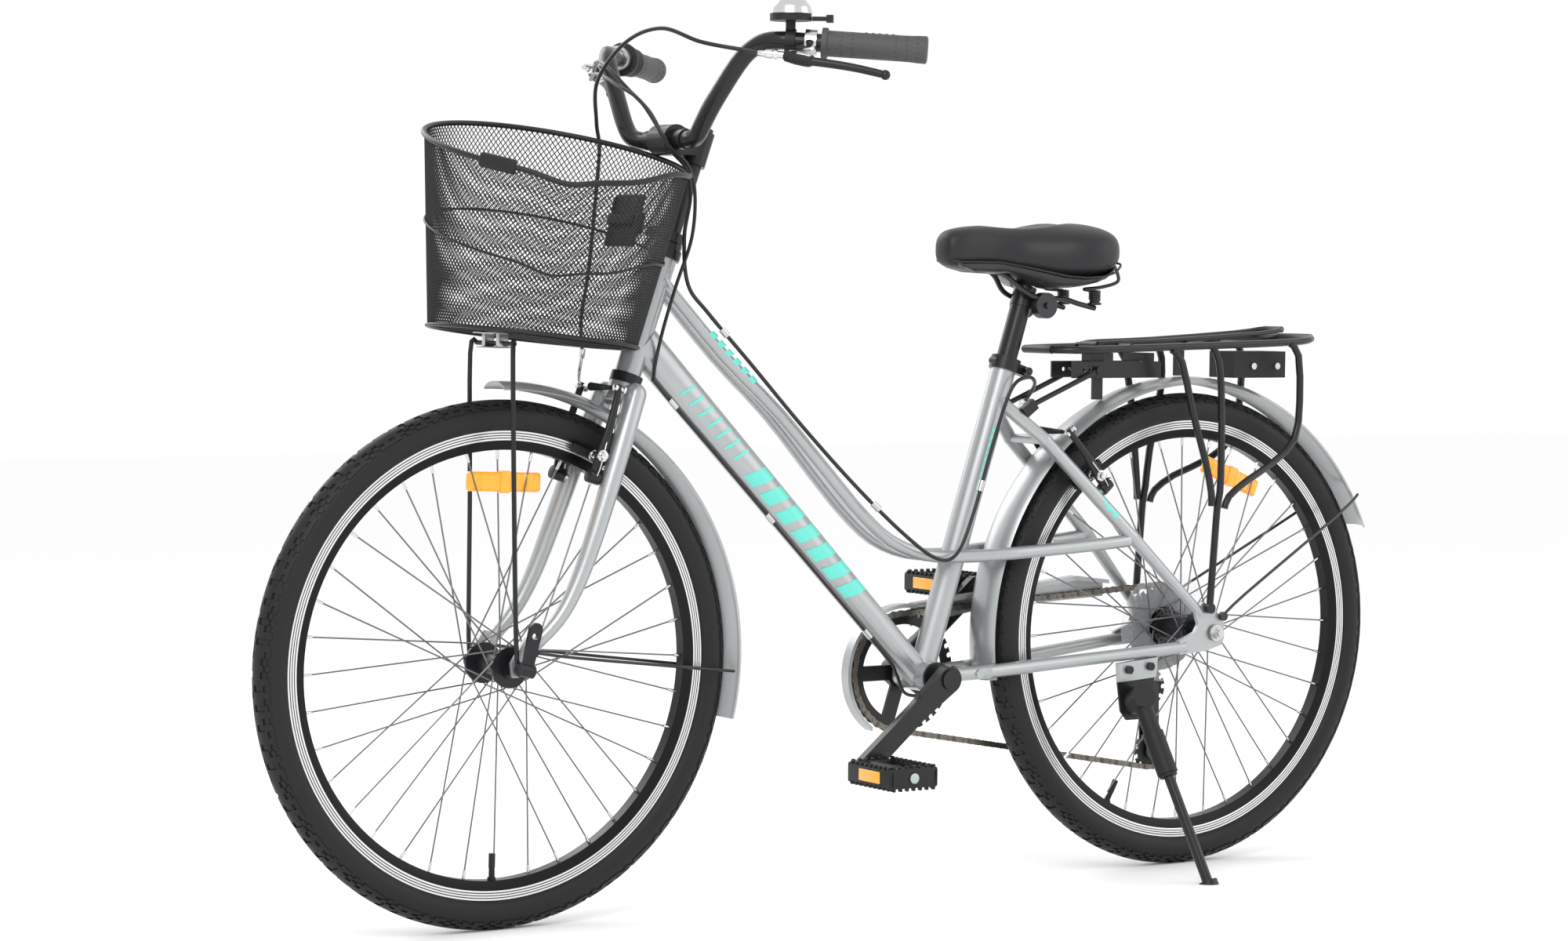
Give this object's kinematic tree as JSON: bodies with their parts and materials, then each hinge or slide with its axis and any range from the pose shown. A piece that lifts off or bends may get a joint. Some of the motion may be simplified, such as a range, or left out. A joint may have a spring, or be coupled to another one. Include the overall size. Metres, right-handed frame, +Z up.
{
  "type": "bicycle on stand",
  "caption": "Step-through city bicycle leaning on its kickstand, with wire basket, high-rise handlebar, rear rack, full fenders and derailleur gears",
  "frame": {"origin": "centre of the bounding box in plan, at floor level where the tyres and the kickstand foot rest", "axes": "+X forward along the wheels, +Y toward the rider's left where the kickstand is, +Z up; the bicycle leans 2 degrees toward +Y onto its stand"},
  "size_m": [1.7069, 0.649, 1.1209],
  "materials": {
    "silver_paint": "metallic silver paint",
    "black_paint": "satin black paint",
    "steel": "bright zinc plate",
    "dark_steel": "black oxide",
    "alloy": "polished alloy",
    "black_alloy": "black anodised",
    "chain_steel": "oiled chain steel",
    "chrome": "polished",
    "tyre": "moulded rubber",
    "grip": "soft moulded rubber",
    "black_plastic": "moulded",
    "cable": "plastic-covered cable housing",
    "saddle_cover": "vinyl cover over foam"
  },
  "bodies": {
    "frame": {"frame": "silver_paint", "bearings": "black_alloy", "seat_collar": "black_alloy", "rear_rack": "black_paint", "rack_fittings": "dark_steel", "rear_reflector": "black_plastic", "rear_fender": "silver_paint", "rear_fender_stays": "steel", "chain_guard": "silver_paint", "kickstand_bracket": "dark_steel", "derailleur": "dark_steel", "chain": "chain_steel", "rear_axle": "steel", "rear_cables": "cable", "cable_stops": "steel"},
    "front_end": {"fork": "silver_paint", "stem": "black_alloy", "handlebar": "black_paint", "grip_left": "grip", "grip_right": "grip", "brake_mount_left": "alloy", "brake_mount_right": "alloy", "bell_base": "black_plastic", "bell_dome": "chrome", "front_fender": "silver_paint", "front_stays": "steel", "basket": "black_paint", "basket_bracket": "black_paint", "front_axle": "steel", "front_cable": "cable"},
    "front_wheel": {"front_tyre": "tyre", "front_rim": "black_alloy", "front_spokes": "steel", "front_hub": "alloy"},
    "rear_wheel": {"rear_tyre": "tyre", "rear_rim": "black_alloy", "rear_spokes": "steel", "rear_hub": "alloy"},
    "cranks": {"crankset": "black_paint"},
    "pedal_left": {"pedal_left": "black_plastic"},
    "pedal_right": {"pedal_right": "black_plastic"},
    "freewheel": {"freewheel": "steel"},
    "jockey_guide": {"jockey_guide": "black_plastic"},
    "jockey_tension": {"jockey_tension": "black_plastic"},
    "brake_lever_left": {"brake_lever_left": "black_alloy"},
    "brake_lever_right": {"brake_lever_right": "black_alloy"},
    "front_arm_left": {"front_arm_left": "black_alloy"},
    "front_arm_right": {"front_arm_right": "black_alloy"},
    "rear_arm_left": {"rear_arm_left": "black_alloy"},
    "rear_arm_right": {"rear_arm_right": "black_alloy"},
    "shifter": {"shifter": "black_plastic"},
    "bell_lever": {"bell_lever": "black_plastic"},
    "front_qr_lever": {"front_qr_lever": "steel"},
    "kickstand": {"stand_sleeve": "black_plastic"},
    "stand_foot": {"stand_foot": "black_alloy"},
    "seat_post": {"seat_post": "black_paint"},
    "saddle": {"saddle_rails": "dark_steel", "saddle_shell": "black_plastic", "saddle_cushion": "saddle_cover", "saddle_springs": "dark_steel"}
  },
  "joints": [
    {"name": "steering", "type": "hinge", "parent": "frame", "child": "front_end", "pos_m": [0.35096, -0.01373, 0.67177], "axis": [-0.3338, 0.0329, 0.9421], "range_deg": [-50, 50], "deforming": ["rear_cables"]},
    {"name": "front_wheel_spin", "type": "hinge", "parent": "front_end", "child": "front_wheel", "pos_m": [0.532, -0.02597, 0.32132], "axis": [0, 0.9994, -0.0349], "continuous": true},
    {"name": "rear_wheel_spin", "type": "hinge", "parent": "frame", "child": "rear_wheel", "pos_m": [-0.532, -0.02597, 0.32132], "axis": [0, 0.9994, -0.0349], "continuous": true},
    {"name": "crank_spin", "type": "hinge", "parent": "frame", "child": "cranks", "pos_m": [-0.098, -0.02747, 0.27834], "axis": [0, 0.9994, -0.0349], "continuous": true},
    {"name": "freewheel_spin", "type": "hinge", "parent": "frame", "child": "freewheel", "pos_m": [-0.532, -0.02597, 0.32132], "axis": [0, 0.9994, -0.0349], "continuous": true},
    {"name": "guide_wheel_spin", "type": "hinge", "parent": "frame", "child": "jockey_guide", "pos_m": [-0.514, -0.07087, 0.23883], "axis": [0, 0.9994, -0.0349], "continuous": true},
    {"name": "tension_wheel_spin", "type": "hinge", "parent": "frame", "child": "jockey_tension", "pos_m": [-0.516, -0.07394, 0.15089], "axis": [0, 0.9994, -0.0349], "continuous": true},
    {"name": "left_pedal_spin", "type": "hinge", "parent": "cranks", "child": "pedal_left", "pos_m": [0.03486, 0.0288, 0.17025], "axis": [0, 0.9994, -0.0349], "continuous": true},
    {"name": "right_pedal_spin", "type": "hinge", "parent": "cranks", "child": "pedal_right", "pos_m": [-0.23086, -0.08373, 0.38643], "axis": [0, 0.9994, -0.0349], "continuous": true},
    {"name": "left_brake_lever", "type": "hinge", "parent": "front_end", "child": "brake_lever_left", "pos_m": [0.25118, 0.24483, 1.04393], "axis": [0.3443, 0.5353, 0.7713], "range_deg": [0, 18], "stiffness_Nm_per_rad": 1},
    {"name": "right_brake_lever", "type": "hinge", "parent": "front_end", "child": "brake_lever_right", "pos_m": [0.25118, -0.24569, 1.06106], "axis": [-0.3443, 0.4802, -0.8068], "range_deg": [0, 18], "stiffness_Nm_per_rad": 1},
    {"name": "front_arm_left_swing", "type": "hinge", "parent": "front_end", "child": "front_arm_left", "pos_m": [0.424, 0.02597, 0.54764], "axis": [0.9536, 0.0105, 0.3009], "range_deg": [0, 4], "stiffness_Nm_per_rad": 1.5},
    {"name": "front_arm_right_swing", "type": "hinge", "parent": "front_end", "child": "front_arm_right", "pos_m": [0.424, -0.06198, 0.55071], "axis": [-0.9536, -0.0105, -0.3009], "range_deg": [0, 4], "stiffness_Nm_per_rad": 1.5},
    {"name": "rear_arm_left_swing", "type": "hinge", "parent": "frame", "child": "rear_arm_left", "pos_m": [-0.3655, 0.02297, 0.51923], "axis": [0.76, -0.0227, -0.6496], "range_deg": [0, 4], "stiffness_Nm_per_rad": 1.5},
    {"name": "rear_arm_right_swing", "type": "hinge", "parent": "frame", "child": "rear_arm_right", "pos_m": [-0.3655, -0.06098, 0.52216], "axis": [-0.76, 0.0227, 0.6496], "range_deg": [0, 4], "stiffness_Nm_per_rad": 1.5},
    {"name": "shifter_twist", "type": "hinge", "parent": "front_end", "child": "shifter", "pos_m": [0.21959, -0.23585, 1.0804], "axis": [-0.7799, -0.6247, -0.039], "range_deg": [0, 140]},
    {"name": "bell_thumb_lever", "type": "hinge", "parent": "front_end", "child": "bell_lever", "pos_m": [0.25391, 0.21, 1.09452], "axis": [0, 0.0349, 0.9994], "range_deg": [-25, 0], "stiffness_Nm_per_rad": 0.2},
    {"name": "wheel_release", "type": "hinge", "parent": "front_end", "child": "front_qr_lever", "pos_m": [0.532, 0.04879, 0.31871], "axis": [-0.9724, -0.0081, -0.2332], "range_deg": [0, 180]},
    {"name": "kickstand_fold", "type": "hinge", "parent": "frame", "child": "kickstand", "pos_m": [-0.401, 0.03692, 0.23107], "axis": [0.155, 0.9147, 0.3733], "range_deg": [0, 88]},
    {"name": "kickstand_length", "type": "slide", "parent": "kickstand", "child": "stand_foot", "axis": [-0.0943, 0.4166, -0.9042], "range_m": [-0.018, 0.02]},
    {"name": "seat_height", "type": "slide", "parent": "frame", "child": "seat_post", "axis": [-0.3057, 0.0332, 0.9515], "range_m": [-0.04, 0.06]},
    {"name": "saddle_tilt", "type": "hinge", "parent": "seat_post", "child": "saddle", "pos_m": [-0.27357, -0.01064, 0.76006], "axis": [0, 0.9994, -0.0349], "range_deg": [-12, 12]}
  ],
  "couplings": [
    {"joint": "freewheel_spin", "follows": "crank_spin", "ratio": 1.3571},
    {"joint": "guide_wheel_spin", "follows": "crank_spin", "ratio": -3.4545},
    {"joint": "tension_wheel_spin", "follows": "crank_spin", "ratio": 3.4545},
    {"joint": "front_arm_left_swing", "follows": "left_brake_lever", "ratio": 0.22222},
    {"joint": "front_arm_right_swing", "follows": "left_brake_lever", "ratio": 0.22222},
    {"joint": "rear_arm_left_swing", "follows": "right_brake_lever", "ratio": 0.22222},
    {"joint": "rear_arm_right_swing", "follows": "right_brake_lever", "ratio": 0.22222}
  ]
}
